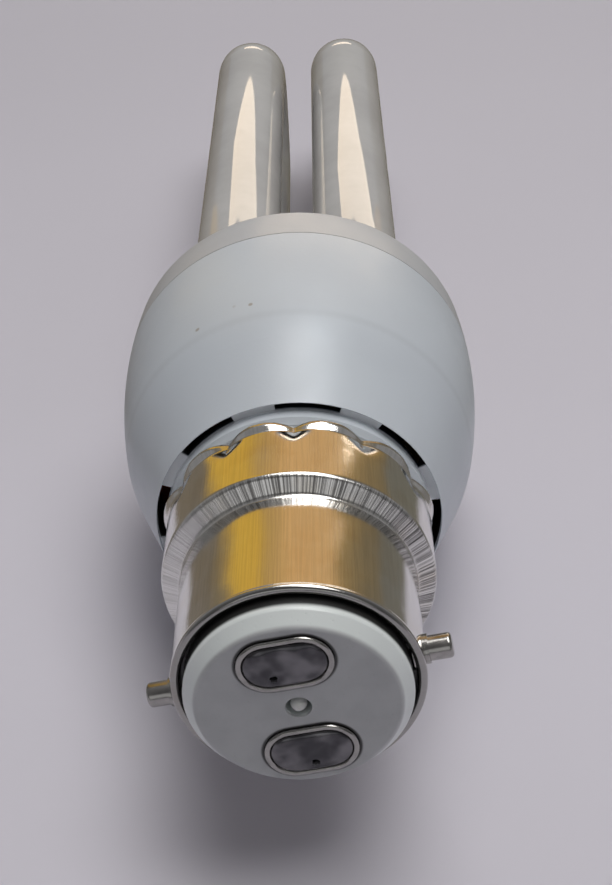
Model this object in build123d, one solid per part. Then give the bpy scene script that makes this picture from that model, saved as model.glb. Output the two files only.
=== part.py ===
from build123d import *
import math
import os

# Compact fluorescent stick lamp: two bent glass tubes, a moulded housing and a bayonet cap.
# Every piece is drawn with the lamp upright. Z is the lamp's axis and z = 0 is the open rim of
# the cap. The whole lamp is then laid on the crown of its housing and the bends of its tubes.
# Lengths are in millimetres and angles in degrees.

# Cap shell
barrel_r = 11.0
barrel_len = 12.6
shoulder_len = 0.8
skirt_r = 12.8
skirt_len = 8.1
shell_wall = 0.35
shoulder_round = 0.6
rim_bead_r = 0.28
crimp_count = 12
crimp_depth = 1.0
crimp_len = 4.4
crimp_flank = 64.0
crimp_roll = 0.8

# Bayonet pins
pin_r = 1.1
pin_height = 2.0
pin_span = 27.0
pin_roll = -10.0
pin_nose = 0.35
pin_head_r = 1.55
pin_head_len = 0.45
pin_collar_r = 1.3
pin_collar_len = 0.4

# Insulator, contacts and the sealing bead in its middle
plug_r = 9.9
plug_proud = 2.5
plug_face_r = 8.76
plug_bevel_len = 1.3
plug_round = 0.43
plug_flange_front = 1.0
plug_back = 3.6
contact_pitch = 10.2
contact_len = 8.3
contact_width = 5.5
contact_wall = 0.55
contact_rim_round = 0.24
contact_proud = 0.35
contact_depth = 3.0
contact_floor = 0.4
solder_sink = 0.3
solder_round = 0.5
solder_pit_r = 0.27
solder_pits = ((-1.3, -1.1), (0.9, -0.9))
bead_hole_r = 1.15
bead_r = 0.7
bead_proud = 0.15

# Housing outline: a straight flare, a blending arc and a long shallow crown
crown_drop = 1.6
crown_curve_r = 66.0
blend_curve_r = 20.0
blend_start = 10.5
flare_slope = 21.5
housing_wall = 1.5
neck_wall = 1.5
neck_len = 6.9
neck_lead_in = 0.5
collar_r = 12.95
collar_len = 1.4
collar_bevel = 0.5
shelf_thick = 1.2
board_rise = 12.4
mouth_rise = 11.1
cover_len = 6.4
face_round = 1.3

# Ventilation slots round the collar
vent_count = 8
vent_arc = 27.0
vent_roll = 6.4
vent_width = 1.0
vent_lip = 0.05
groove_depth = 0.6

# Circuit board and the ribs that it rests on
board_thick = 1.6
rib_count = 4
rib_width = 1.4
rib_len = 5.0
rib_reach = 2.1

# Tube holder
plate_thick = 1.6
flange_thick = 1.3
spigot_len = 4.6
spigot_wall = 1.4
hook_count = 4
hook_width = 3.2
hook_len = 1.4
hook_reach = 0.45
hook_draft = 0.11
hook_drop = 2.2
foot_count = 4
foot_arc = 14.0
foot_wall = 1.1
foot_inset = 0.3
sleeve_wall = 0.6
sleeve_len = 3.6

# Glass tubes
tube_r = 4.9
leg_gap = 3.96
sleeve_bite = 0.12
tube_stand = 6.1
tube_reach = 79.3
end_round = 3.4
bridge_r = 1.5
bridge_rise = 2.3
pinch_width = 6.4
pinch_thick = 2.2
pinch_len = 2.6
tip_r = 1.1
tip_len = 2.2
cement_len = 0.6
cement_wall = 0.35

# Choke
choke_gap = 0.6
choke_y = 0.0
core_width = 10.2
core_height = 10.0
core_depth = 4.6
core_back = 1.6
core_post = 3.2
core_leg = 1.6
bobbin_wall = 0.5
bobbin_depth = 9.6
winding_inset = 0.25
winding_round = 1.65
choke_lead_x = 2.6
choke_lead_y = 3.6

# Reservoir capacitor
can_gap = 0.3
can_y = 0.0
can_r = 5.0
can_len = 15.9
can_round = 0.6
can_groove = 0.3
can_groove_at = 2.2
can_lead_pitch = 5.0

# Drive transformer: a ferrite ring with three coils
ring_x = -1.5
ring_y = 10.4
ring_r = 4.0
ring_bore_r = 2.2
ring_h = 2.6
coil_wire = 0.35
coil_arc = 62.0
coil_count = 3
coil_first = 30.0
coil_foot_arc = 20.7
coil_stand = 0.35

# Small components, each with its place on the board and its turn
film_len = 7.0
film_thick = 3.2
film_height = 5.4
film_pitch = 5.0
film_round = 0.9
film_side_gap = 3.84
film_side_angle = 52.0
film_side_turn = -12.0
film_wall_gap = 0.1
transistor_r = 2.3
transistor_flat = 1.3
transistor_h = 4.6
transistor_pitch = 1.4
transistor_lead_len = 1.2
transistors = ((-8.0, -8.6, 0.0), (0.0, -10.0, 0.0))
diode_r = 1.3
diode_len = 4.6
diode_wall_gap = 1.5
diode_count = 4
diode_first = -21.0
diode_step = -13.0
diode_fold = 1.95
diode_fold_rise = 0.9
resistor_r = 0.9
resistor_len = 3.6
resistors = ((13.2, -0.6, 90.0), (-9.3, 7.4, 0.0), (12.5, 5.4, -65.0))
trigger_r = 0.8
trigger_len = 3.2
trigger_place = (-4.3, -7.75, 90.0)
stand_off = 0.2
lead_r = 0.3
lead_overhang = 0.7
lead_bend_r = 0.4
joint_r = 0.62
joint_h = 0.7

# Wires
fuse_r = 1.5
fuse_len = 8.0
fuse_height = 7.0
fuse_round = 0.5
supply_r = 0.55
supply_bend_r = 3.0
supply_a_board = (1.1, -6.4)
supply_b_board = (1.7, 5.6)
supply_bend_low = 2.9
supply_bend_high = 9.4
filament_r = 0.25
filament_spread = 4.0
filament_drop = 1.5
filament_bend_r = 0.6
post_size = 0.8
post_len = 3.4
post_sink = 1.0
post_offset = 3.6

# How far a cut or an added shape runs past the face that it passes
overrun = 1.0

# Clearances
fit = 0.05
joint_gap = 0.1
tube_gap = 0.1
board_gap = 0.15

# Places that follow from the sizes above
bore_r = barrel_r - shell_wall
shoulder_top = barrel_len + shoulder_len
skirt_end = shoulder_top + skirt_len
skirt_bore_r = skirt_r - shell_wall
neck_r = skirt_bore_r - fit
neck_bore_r = neck_r - neck_wall
neck_height = skirt_end - neck_len
collar_height = skirt_end + joint_gap
vent_height = skirt_end + collar_len
shelf_height = vent_height + shelf_thick
board_height = shelf_height + board_rise
mouth_height = board_height + mouth_rise
crown_height = mouth_height - crown_drop
face_height = mouth_height + cover_len
hook_height = mouth_height - hook_drop
contact_front = -plug_proud - contact_proud
contact_back = contact_front + contact_depth
contact_inner = contact_back - contact_floor
board_top = board_height + board_thick
leg_spread = tube_r + leg_gap / 2
can_x = neck_bore_r - can_r - can_gap
tube_base = board_top + tube_stand
bridge_height = tube_base + bridge_rise
plate_under = face_height - plate_thick
sleeve_end = plate_under - sleeve_len
spigot_end = mouth_height - spigot_len
under_board = board_height - stand_off


def at(r, z):
    """Point of a turned profile."""
    return Vector(r, 0, z)


def profile(*parts):
    """Face from lines laid end to end."""
    return make_face([edge for part in parts for edge in part.edges()])


def turned(*points):
    """Solid turned round the lamp's axis from a closed outline of (radius, height) points."""
    outline = Polyline(*[at(r, z) for r, z in points], close=True)
    return revolve(profile(outline), Axis.Z)


def ring(inner_r, outer_r, low, high):
    """Plain ring between two heights."""
    return turned((inner_r, low), (outer_r, low), (outer_r, high), (inner_r, high))


def ring_sector(inner_r, outer_r, low, high, arc):
    """Part of a ring, centred on the X axis."""
    outline = Polyline(at(inner_r, low), at(outer_r, low), at(outer_r, high), at(inner_r, high), close=True)
    return Rot(0, 0, -arc / 2) * revolve(profile(outline), Axis.Z, arc)


def rod(x, y, r, low, high):
    """Upright cylinder between two heights."""
    return Pos(x, y, (low + high) / 2) * Cylinder(r, high - low)


def block(x, y, width, depth, low, high):
    """Upright box between two heights."""
    return Pos(x, y, (low + high) / 2) * Box(width, depth, high - low)


def stadium(length, width, low, high):
    """Upright prism with round ends."""
    return Pos(0, 0, low) * extrude(SlotOverall(length, width), high - low)


def wire(r, bend_r, *points):
    """Round wire along straight runs joined by arcs."""
    path = FilletPolyline(*points, radius=bend_r)
    section = Plane(origin=path @ 0, z_dir=path % 0) * Circle(r)
    return sweep(section, path=path)


def round_copies(shape, count, first=0.0):
    """Copies of a shape spaced evenly round the lamp's axis."""
    return [Rot(0, 0, first + k * 360 / count) * shape for k in range(count)]


def polar(r, angle):
    """Place in the XY plane at a radius and an angle."""
    return r * math.cos(math.radians(angle)), r * math.sin(math.radians(angle))


def group(*shapes):
    """Separate solids kept together as one node."""
    return Compound(children=[solid for shape in shapes for solid in shape.solids()])


def outline_offset():
    """Radius of the crown arc's centre that sets the flare's foot just outside the slots."""
    a = math.radians(blend_start)
    b = math.radians(flare_slope)
    step = crown_curve_r - blend_curve_r
    reach = step * math.cos(a) + blend_curve_r * math.cos(b)
    rise = crown_height - step * math.sin(a) - blend_curve_r * math.sin(b) - vent_height
    return collar_r + vent_width + vent_lip + rise * math.tan(b) - reach


crown_axis_r = outline_offset()


def crown_point(angle, inset):
    """Point of the crown arc at a slope angle, moved inwards by inset."""
    reach = crown_curve_r - inset
    a = math.radians(angle)
    return at(crown_axis_r + reach * math.cos(a), crown_height - reach * math.sin(a))


def blend_point(angle, inset):
    """Point of the blending arc at a slope angle, moved inwards by inset."""
    a = math.radians(blend_start)
    b = math.radians(angle)
    step = crown_curve_r - blend_curve_r
    centre_r = crown_axis_r + step * math.cos(a)
    centre_z = crown_height - step * math.sin(a)
    reach = blend_curve_r - inset
    return at(centre_r + reach * math.cos(b), centre_z - reach * math.sin(b))


def crown_slope(z, inset):
    """Slope angle of the crown arc at a height."""
    return math.degrees(math.asin((crown_height - z) / (crown_curve_r - inset)))


def crown_radius(z, inset):
    """Radius of the crown at a height."""
    return crown_point(crown_slope(z, inset), inset).X


def flare_radius(z, inset):
    """Radius of the straight flare at a height."""
    start = blend_point(flare_slope, inset)
    return start.X - (start.Z - z) * math.tan(math.radians(flare_slope))


def crown_arc(first, last, inset):
    """Stretch of the crown between two slope angles."""
    middle = crown_point((first + last) / 2, inset)
    return ThreePointArc(crown_point(first, inset), middle, crown_point(last, inset))


def closed_at_axis(low_r, low, high_r, high):
    """Lines that close a turned outline along the lamp's axis."""
    return Polyline(at(high_r, high), at(0, high), at(0, low), at(low_r, low))


def housing_fill(inset, low, high):
    """Solid inside the housing's outline, from low on the flare to high on the crown."""
    flare = Line(at(flare_radius(low, inset), low), blend_point(flare_slope, inset))
    middle = blend_point((flare_slope + blend_start) / 2, inset)
    blend = ThreePointArc(blend_point(flare_slope, inset), middle, blend_point(blend_start, inset))
    crown = crown_arc(blend_start, crown_slope(high, inset), inset)
    closing = closed_at_axis(flare_radius(low, inset), low, crown_radius(high, inset), high)
    return revolve(profile(flare, blend, crown, closing), Axis.Z)


def crown_fill(inset, low, high):
    """Solid inside the crown alone, between two heights."""
    crown = crown_arc(crown_slope(low, inset), crown_slope(high, inset), inset)
    closing = closed_at_axis(crown_radius(low, inset), low, crown_radius(high, inset), high)
    return revolve(profile(crown, closing), Axis.Z)


def inside_radius(z):
    """Radius of the housing's inner wall at a height above the flare."""
    edge = blend_point(flare_slope, housing_wall)
    if z < edge.Z:
        return flare_radius(z, housing_wall)
    top = crown_point(blend_start, housing_wall)
    if z > top.Z:
        return crown_radius(z, housing_wall)
    centre_z = edge.Z + (blend_curve_r - housing_wall) * math.sin(math.radians(flare_slope))
    slope = math.degrees(math.asin((centre_z - z) / (blend_curve_r - housing_wall)))
    return blend_point(slope, housing_wall).X


def film_reach():
    """Distance from the axis to the film capacitor that stands square to the housing's wall."""
    wall_r = inside_radius(under_board - film_height)
    return math.sqrt(wall_r ** 2 - (film_len / 2) ** 2) - film_wall_gap - film_thick / 2


spigot_r = crown_radius(spigot_end, housing_wall) - joint_gap
spigot_bore_r = spigot_r - spigot_wall
leg_reach = spigot_bore_r + sleeve_bite - sleeve_wall - tube_gap - tube_r
leg_offset = math.sqrt(leg_reach ** 2 - leg_spread ** 2)
bend_height = face_height + tube_reach - leg_offset - tube_r
choke_x = core_width / 2 + choke_gap - film_reach() + film_thick / 2


def crimp_tools(grow):
    """Blunt wedges that press the skirt's edge into the neck, grown by an allowance."""
    lean = math.atan2(crimp_depth, crimp_len)
    ridge_r = skirt_r - crimp_depth - grow / math.sin(math.radians(crimp_flank))
    upwards = (-math.sin(lean), 0, math.cos(lean))
    outwards = (math.cos(lean), 0, math.sin(lean))
    tool_plane = Plane(origin=(ridge_r, 0, skirt_end), x_dir=outwards, z_dir=upwards)
    height = crimp_len / 2
    spread = height * math.tan(math.radians(crimp_flank))
    wedge = make_face(Polyline((0, 0), (height, -spread), (height, spread), close=True).edges())
    below = crimp_len * 2
    tool = tool_plane * Pos(0, 0, -below) * extrude(wedge, below + overrun)
    return round_copies(tool, crimp_count, crimp_roll)


def make_cap_shell():
    """Drawn shell: barrel, shoulder and skirt, with a rolled rim and a crimped edge."""
    lean = math.atan2(skirt_r - barrel_r, shoulder_len)
    shift = shell_wall * math.tan(lean / 2)
    outer = FilletPolyline(
        at(barrel_r, rim_bead_r),
        at(barrel_r, barrel_len),
        at(skirt_r, shoulder_top),
        at(skirt_r, skirt_end),
        radius=shoulder_round,
    )
    inner = FilletPolyline(
        at(skirt_bore_r, skirt_end),
        at(skirt_bore_r, shoulder_top + shift),
        at(bore_r, barrel_len + shift),
        at(bore_r, rim_bead_r),
        radius=[shoulder_round - shell_wall, shoulder_round + shell_wall],
    )
    edge = Line(at(skirt_r, skirt_end), at(skirt_bore_r, skirt_end))
    foot = Line(at(bore_r, rim_bead_r), at(barrel_r, rim_bead_r))
    wall = revolve(profile(outer, edge, inner, foot), Axis.Z)
    bead = Pos(0, 0, rim_bead_r) * Torus(barrel_r - shell_wall / 2, rim_bead_r)
    lining = rod(0, 0, skirt_r - shell_wall / 2, shoulder_top + shell_wall, skirt_end)
    dents = [lining & tool for tool in crimp_tools(shell_wall)]
    hole = Pos(barrel_r, 0, pin_height) * Rot(0, 90, 0) * Cylinder(pin_collar_r + fit, 2 * overrun)
    holes = round_copies(hole, 2, pin_roll)
    return wall + bead + dents - crimp_tools(0) - holes


def make_bayonet_pins():
    """Two locating pins, headed inside the barrel and rounded at their tips."""
    seat = math.sqrt(bore_r ** 2 - pin_head_r ** 2) - fit
    collar = barrel_r + fit
    tip = pin_span / 2
    outline = FilletPolyline(
        (seat - pin_head_len, 0),
        (seat - pin_head_len, pin_head_r),
        (seat, pin_head_r),
        (seat, pin_collar_r),
        (collar + pin_collar_len, pin_collar_r),
        (collar + pin_collar_len, pin_r),
        (tip, pin_r),
        (tip, 0),
        radius=[0, 0, 0, 0, 0, pin_nose],
    )
    closing = Line((tip, 0), (seat - pin_head_len, 0))
    pin = Pos(0, 0, pin_height) * revolve(profile(outline, closing), Axis.X)
    return group(*round_copies(pin, 2, pin_roll))


def contact_places():
    """Places of the two contacts, on a line square to the bayonet pins."""
    return [polar(contact_pitch / 2, pin_roll + turn) for turn in (-90, 90)]


def make_base_insulator():
    """Turned plug with a bevelled front, two contact seats and wire holes behind them."""
    body = turned(
        (0, -plug_proud),
        (plug_face_r, -plug_proud),
        (plug_r, -plug_proud + plug_bevel_len),
        (plug_r, plug_flange_front),
        (bore_r - fit, plug_flange_front),
        (bore_r - fit, plug_back),
        (0, plug_back),
    )
    edges = body.edges().filter_by(GeomType.CIRCLE).sort_by(Axis.Z)
    body = fillet(edges[0:2], plug_round)
    cuts = [rod(0, 0, bead_hole_r, -plug_proud - overrun, plug_back + overrun)]
    for x, y in contact_places():
        seat = stadium(contact_len + 2 * fit, contact_width + 2 * fit, contact_front, contact_back + fit)
        cuts.append(Pos(x, y, 0) * Rot(0, 0, pin_roll) * seat)
        cuts.append(rod(x, y, supply_r + fit, contact_front, plug_back + overrun))
    pocket = Pos(barrel_r, 0, pin_height) * Rot(0, 90, 0) * Cylinder(pin_head_r + fit, 2 * pin_head_r)
    return body - cuts - round_copies(pocket, 2, pin_roll)


def make_contact_plates():
    """Two pressed contact cups with a rounded rim, a floor and a wire hole."""
    cup = stadium(contact_len, contact_width, contact_front, contact_back)
    bowl_len = contact_len - 2 * contact_wall
    bowl_width = contact_width - 2 * contact_wall
    cup -= stadium(bowl_len, bowl_width, contact_front - overrun, contact_inner)
    front = cup.faces().sort_by(Axis.Z)[0]
    cup = fillet(front.edges(), contact_rim_round)
    cup -= rod(0, 0, supply_r + fit, contact_inner - overrun, contact_back + overrun)
    return group(*[Pos(x, y, 0) * Rot(0, 0, pin_roll) * cup for x, y in contact_places()])


def make_contact_solder():
    """Two pools of solder inside the contact cups, with rounded edges and pits."""
    pool_len = contact_len - 2 * contact_wall - 2 * fit
    pool_width = contact_width - 2 * contact_wall - 2 * fit
    front = contact_front + solder_sink
    pool = stadium(pool_len, pool_width, front, contact_inner)
    pool = fillet(pool.faces().sort_by(Axis.Z)[0].edges(), solder_round)
    pools = []
    for (x, y), (pit_x, pit_y) in zip(contact_places(), solder_pits):
        pitted = pool - Pos(pit_x, pit_y, front) * Sphere(solder_pit_r)
        pools.append(Pos(x, y, 0) * Rot(0, 0, pin_roll) * pitted)
    return group(*pools)


def make_sealing_bead():
    """Drop of clear resin that closes the insulator's middle hole."""
    front = -plug_proud - bead_proud + bead_r
    shank = rod(0, 0, bead_r, front, plug_back)
    foot = rod(0, 0, bead_hole_r + bead_r, plug_back, plug_back + bead_r)
    return shank + Pos(0, 0, front) * Sphere(bead_r) + foot


def make_lower_housing():
    """Moulded bowl: neck, collar, ventilation slots, flare, crown, board ribs and snap groove."""
    bowl = housing_fill(0, vent_height, mouth_height)
    neck = turned(
        (0, neck_height),
        (neck_r - neck_lead_in, neck_height),
        (neck_r, neck_height + neck_lead_in),
        (neck_r, collar_height),
        (collar_r, collar_height + collar_bevel),
        (collar_r, vent_height),
        (0, vent_height),
    )
    hollow = housing_fill(housing_wall, shelf_height, mouth_height)
    bore = rod(0, 0, neck_bore_r, neck_height - overrun, shelf_height + overrun)
    groove = ring(collar_r, collar_r + vent_width, vent_height - overrun, vent_height + groove_depth)
    inner_foot = at(flare_radius(shelf_height, housing_wall), shelf_height)
    slot_top = shelf_height + (collar_r + vent_width - inner_foot.X) / math.tan(math.radians(flare_slope))
    slot_top += overrun
    slot = ring_sector(collar_r, collar_r + vent_width, vent_height, slot_top, vent_arc)
    slots = round_copies(slot, vent_count, vent_roll)
    shell = bowl + neck - hollow - bore - groove - slots
    inner_r = crown_radius(hook_height, housing_wall)
    catch_r = inner_r + hook_reach + joint_gap
    catch = ring(inner_r - overrun, catch_r, hook_height - hook_len, hook_height + joint_gap)
    shell -= catch
    wall_r = crown_radius(board_height, housing_wall)
    rib_mid = wall_r + (housing_wall - rib_reach) / 2
    rib = block(rib_mid, 0, rib_reach + housing_wall, rib_width, board_height - rib_len, board_height)
    skin = housing_fill(housing_wall / 2, shelf_height, board_height)
    shell += [copy & skin for copy in round_copies(rib, rib_count, 180 / rib_count)]
    sleeve = rod(0, 0, collar_r, neck_height - overrun, collar_height)
    presses = [sleeve & tool for tool in crimp_tools(shell_wall + fit)]
    return shell - presses


def leg_places():
    """Places of the four tube legs."""
    return [(x, y) for x in (-leg_spread, leg_spread) for y in (-leg_offset, leg_offset)]


def make_tube_holder():
    """Moulded front: crowned rim, plate with four sleeves, spigot with hooks and board feet."""
    seam = mouth_height + joint_gap
    cover = crown_fill(0, seam, face_height)
    rim = cover.edges().filter_by(GeomType.CIRCLE).sort_by(Axis.Z)[-1]
    cover = fillet(rim, face_round)
    cover -= crown_fill(housing_wall, seam - overrun, plate_under)
    cover += ring(spigot_bore_r, spigot_r, spigot_end, seam + flange_thick)
    cover += ring(spigot_bore_r, crown_radius(seam, housing_wall / 2), seam, seam + flange_thick)
    hook_low = hook_height - hook_len + joint_gap
    hook_root = spigot_r - spigot_wall / 2
    outline = Polyline(
        at(hook_root, hook_height),
        at(spigot_r + hook_reach, hook_height),
        at(spigot_r + hook_draft, hook_low),
        at(hook_root, hook_low),
        close=True,
    )
    hook = extrude(profile(outline), hook_width / 2, both=True)
    cover += round_copies(hook, hook_count)
    foot_r = crown_radius(board_top, housing_wall) - foot_inset
    foot = ring_sector(foot_r - foot_wall, foot_r, board_top + fit, seam, foot_arc)
    cover += round_copies(foot, foot_count)
    hole_r = tube_r + tube_gap
    sleeve_top = face_height - face_round
    sleeves = [rod(x, y, hole_r + sleeve_wall, sleeve_end, sleeve_top) for x, y in leg_places()]
    holes = [rod(x, y, hole_r, sleeve_end - overrun, face_height + overrun) for x, y in leg_places()]
    return cover + sleeves - holes


def make_discharge_tube():
    """Sealed glass: two U-bends on four legs, a bridge, two pinched ends and two sealed tips."""
    outline = FilletPolyline(
        at(0, tube_base),
        at(tube_r, tube_base),
        at(tube_r, bend_height),
        at(0, bend_height),
        radius=[end_round, 0],
    )
    leg = revolve(profile(outline, Line(at(0, bend_height), at(0, tube_base))), Axis.Z)
    glass = [Pos(x, y, 0) * leg for x, y in leg_places()]
    for x in (-leg_spread, leg_spread):
        section = Plane.XY.offset(bend_height) * Pos(x, -leg_offset) * Circle(tube_r)
        glass.append(revolve(section, Axis((x, 0, bend_height), (-1, 0, 0)), 180))
        pinch_low = tube_base - pinch_len
        glass.append(block(x, -leg_offset, pinch_width, pinch_thick, pinch_low, tube_base + overrun))
        glass.append(rod(x, leg_offset, tip_r, tube_base - tip_len, tube_base + overrun))
    bridge = Pos(0, leg_offset, bridge_height) * Rot(0, 90, 0) * Cylinder(bridge_r, 2 * leg_spread)
    return bridge + glass


def make_tube_cement():
    """Four collars of cement that bond the glass to the ends of the sleeves."""
    inner_r = tube_r + fit
    outer_r = tube_r + tube_gap + cement_wall
    collar = ring(inner_r, outer_r, sleeve_end - cement_len, sleeve_end)
    return group(*[Pos(x, y, 0) * collar for x, y in leg_places()])


def choke_leads():
    """Places of the choke's leads."""
    signs = ((-1, -1), (-1, 1), (1, -1), (1, 1))
    return [(choke_x + i * choke_lead_x, choke_y + j * choke_lead_y) for i, j in signs]


def turned_pair(x, y, turn, pitch):
    """Two lead places a pitch apart, on a line turned about its middle."""
    dx, dy = polar(pitch / 2, turn)
    return [(x - dx, y - dy), (x + dx, y + dy)]


def can_leads():
    """Places of the reservoir capacitor's leads."""
    return turned_pair(can_x, can_y, 0, can_lead_pitch)


def film_caps():
    """Places and turns of the two film capacitors, set in from the housing's wall."""
    wall_r = inside_radius(under_board - film_height)
    side = polar(wall_r - film_side_gap, film_side_angle)
    return ((*side, film_side_turn), (-film_reach(), 0, 90))


def film_leads():
    """Places of the film capacitors' leads."""
    return [place for x, y, turn in film_caps() for place in turned_pair(x, y, turn, film_pitch)]


def transistor_leads():
    """Places of the transistors' leads."""
    places = []
    for x, y, turn in transistors:
        places.append((x, y))
        places += turned_pair(x, y, turn, 2 * transistor_pitch)
    return places


def diode_angles():
    """Angles of the rectifier diodes round the board."""
    return [diode_first + k * diode_step for k in range(diode_count)]


def diode_ring():
    """Radius of the ring on which the rectifier diodes stand, set in from the housing's wall."""
    return inside_radius(under_board - diode_len) - diode_wall_gap - diode_r


def diode_leads():
    """Places of the diodes' straight and folded leads."""
    straight = [polar(diode_ring(), angle) for angle in diode_angles()]
    folded = [polar(diode_ring() - diode_fold, angle) for angle in diode_angles()]
    return straight + folded


def lying_pitch(length):
    """Distance between the leads of a component that lies on the board."""
    return length + 2 * lead_overhang


def resistor_leads():
    """Places of the resistors' leads."""
    pitch = lying_pitch(resistor_len)
    return [place for x, y, turn in resistors for place in turned_pair(x, y, turn, pitch)]


def trigger_leads():
    """Places of the trigger diode's leads."""
    x, y, turn = trigger_place
    return turned_pair(x, y, turn, lying_pitch(trigger_len))


def all_leads():
    """Every component lead that goes through the board."""
    places = choke_leads() + can_leads() + film_leads() + transistor_leads()
    return places + diode_leads() + resistor_leads() + trigger_leads()


def post_places():
    """Places of the four wire posts, behind the pinched ends of the tubes."""
    spread = filament_spread / 2
    row = -leg_offset - post_offset
    return [(x + side, row) for x in (-leg_spread, leg_spread) for side in (-spread, spread)]


def make_circuit_board():
    """Round board, drilled for every lead, the supply wires and the wire posts."""
    board = rod(0, 0, crown_radius(board_height, housing_wall) - board_gap, board_height, board_top)
    low, high = board_height - overrun, board_top + overrun
    holes = [rod(x, y, lead_r + fit, low, high) for x, y in all_leads()]
    for x, y in (supply_a_board, supply_b_board):
        holes.append(rod(x, y, supply_r + fit, low, high))
    side = post_size + 2 * fit
    holes += [block(x, y, side, side, board_top - post_sink, high) for x, y in post_places()]
    return board - holes


def make_solder_joints():
    """Cones of solder over the leads, on the side of the board that faces the tubes."""
    cone = Cone(joint_r, lead_r, joint_h)
    return group(*[Pos(x, y, board_top + joint_h / 2) * cone for x, y in all_leads()])


def choke_mid():
    """Height of the middle of the choke."""
    return under_board - core_height / 2


def make_choke_core():
    """Two E-shaped ferrite halves that meet leg to leg."""
    reach = core_height / 2 - fit / 2
    half = block(0, 0, core_width, core_depth, -reach, 0)
    window = (core_width - core_post) / 2 - core_leg
    offset = core_post / 2 + window / 2
    depth = core_depth + overrun
    half -= [block(side * offset, 0, window, depth, -reach + core_back, overrun) for side in (-1, 1)]
    lower = Pos(choke_x, choke_y, choke_mid() - fit / 2) * half
    upper = Pos(choke_x, choke_y, choke_mid() + fit / 2) * Rot(180, 0, 0) * half
    return group(lower, upper)


def make_choke_bobbin():
    """Bobbin: a square tube, two flanges and two feet that carry the leads."""
    mid = choke_mid()
    reach = core_height / 2 - core_back - fit
    tube_width = core_post + 2 * fit + 2 * bobbin_wall
    tube_depth = core_depth + 2 * fit + 2 * bobbin_wall
    flange_width = core_width - 2 * core_leg - 2 * fit
    body = block(choke_x, choke_y, tube_width, tube_depth, mid - reach, mid + reach)
    for low in (mid - reach, mid + reach - bobbin_wall):
        body += block(choke_x, choke_y, flange_width, bobbin_depth, low, low + bobbin_wall)
    foot_depth = (bobbin_depth - core_depth) / 2 - fit
    foot_y = (core_depth / 2 + fit) + foot_depth / 2
    for side in (-1, 1):
        low = mid + reach - bobbin_wall
        body += block(choke_x, choke_y + side * foot_y, flange_width, foot_depth, low, board_height)
    hole_width, hole_depth = core_post + 2 * fit, core_depth + 2 * fit
    body -= block(choke_x, choke_y, hole_width, hole_depth, mid - core_height, mid + core_height)
    return body + [rod(x, y, lead_r, board_height - overrun, board_top) for x, y in choke_leads()]


def make_choke_winding():
    """Enamelled copper wound on the bobbin, as one rounded bundle."""
    mid = choke_mid()
    reach = core_height / 2 - core_back - bobbin_wall - 2 * fit
    width = core_width - 2 * core_leg - 2 * winding_inset
    depth = bobbin_depth - 2 * winding_inset
    bundle = extrude(RectangleRounded(width, depth, winding_round), 2 * reach)
    bundle = Pos(choke_x, choke_y, mid - reach) * bundle
    hole_width = core_post + 2 * bobbin_wall + 4 * fit
    hole_depth = core_depth + 2 * bobbin_wall + 4 * fit
    return bundle - block(choke_x, choke_y, hole_width, hole_depth, mid - core_height, mid + core_height)


def make_reservoir_capacitor():
    """Aluminium can with a beaded groove, standing on the board and reaching into the neck."""
    low = under_board - can_len
    can = rod(0, 0, can_r, low, under_board)
    can = fillet(can.edges().filter_by(GeomType.CIRCLE), can_round)
    can -= Pos(0, 0, under_board - can_groove_at) * Torus(can_r + can_groove / 2, can_groove)
    can = Pos(can_x, can_y, 0) * can
    return can + [rod(x, y, lead_r, under_board - overrun, board_top) for x, y in can_leads()]


def make_transformer_ring():
    """Small ferrite ring of the drive transformer."""
    low = under_board - coil_wire - coil_stand - ring_h
    return Pos(ring_x, ring_y, 0) * ring(ring_bore_r, ring_r, low, low + ring_h)


def make_transformer_coils():
    """Three coils round the ferrite ring, each as one curved bundle with a hole for the ring."""
    low = under_board - 2 * coil_wire - coil_stand - ring_h
    outer = ring_sector(ring_bore_r - coil_wire, ring_r + coil_wire, low, under_board - coil_stand, coil_arc)
    ring_low = low + coil_wire
    coil = outer - ring(ring_bore_r - fit, ring_r + fit, ring_low - fit, ring_low + ring_h + fit)
    middle_r = (ring_r + ring_bore_r) / 2
    stub = rod(middle_r, 0, coil_wire / 2, under_board - coil_stand - coil_wire / 2, board_height)
    coil += [Rot(0, 0, side * coil_foot_arc) * stub for side in (-1, 1)]
    return group(*[Pos(ring_x, ring_y, 0) * copy for copy in round_copies(coil, coil_count, coil_first)])


def make_film_capacitors():
    """Two dipped film capacitors with rounded bodies."""
    pieces = []
    for x, y, turn in film_caps():
        body = block(0, 0, film_len, film_thick, under_board - film_height, under_board)
        body = fillet(body.edges(), film_round)
        leads = [rod(side * film_pitch / 2, 0, lead_r, under_board - overrun, board_top) for side in (-1, 1)]
        pieces.append(Pos(x, y, 0) * Rot(0, 0, turn) * (body + leads))
    return group(*pieces)


def make_transistors():
    """Two switching transistors in half-round cases on three leads."""
    pieces = []
    high = under_board - transistor_lead_len
    case = rod(0, 0, transistor_r, high - transistor_h, high)
    case &= block(0, -transistor_r + transistor_flat, 2 * transistor_r + overrun, 2 * transistor_r, 0, board_top)
    leads = [rod(k * transistor_pitch, 0, lead_r, high - overrun, board_top) for k in (-1, 0, 1)]
    for x, y, turn in transistors:
        pieces.append(Pos(x, y, 0) * Rot(0, 0, turn) * (case + leads))
    return group(*pieces)


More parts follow.
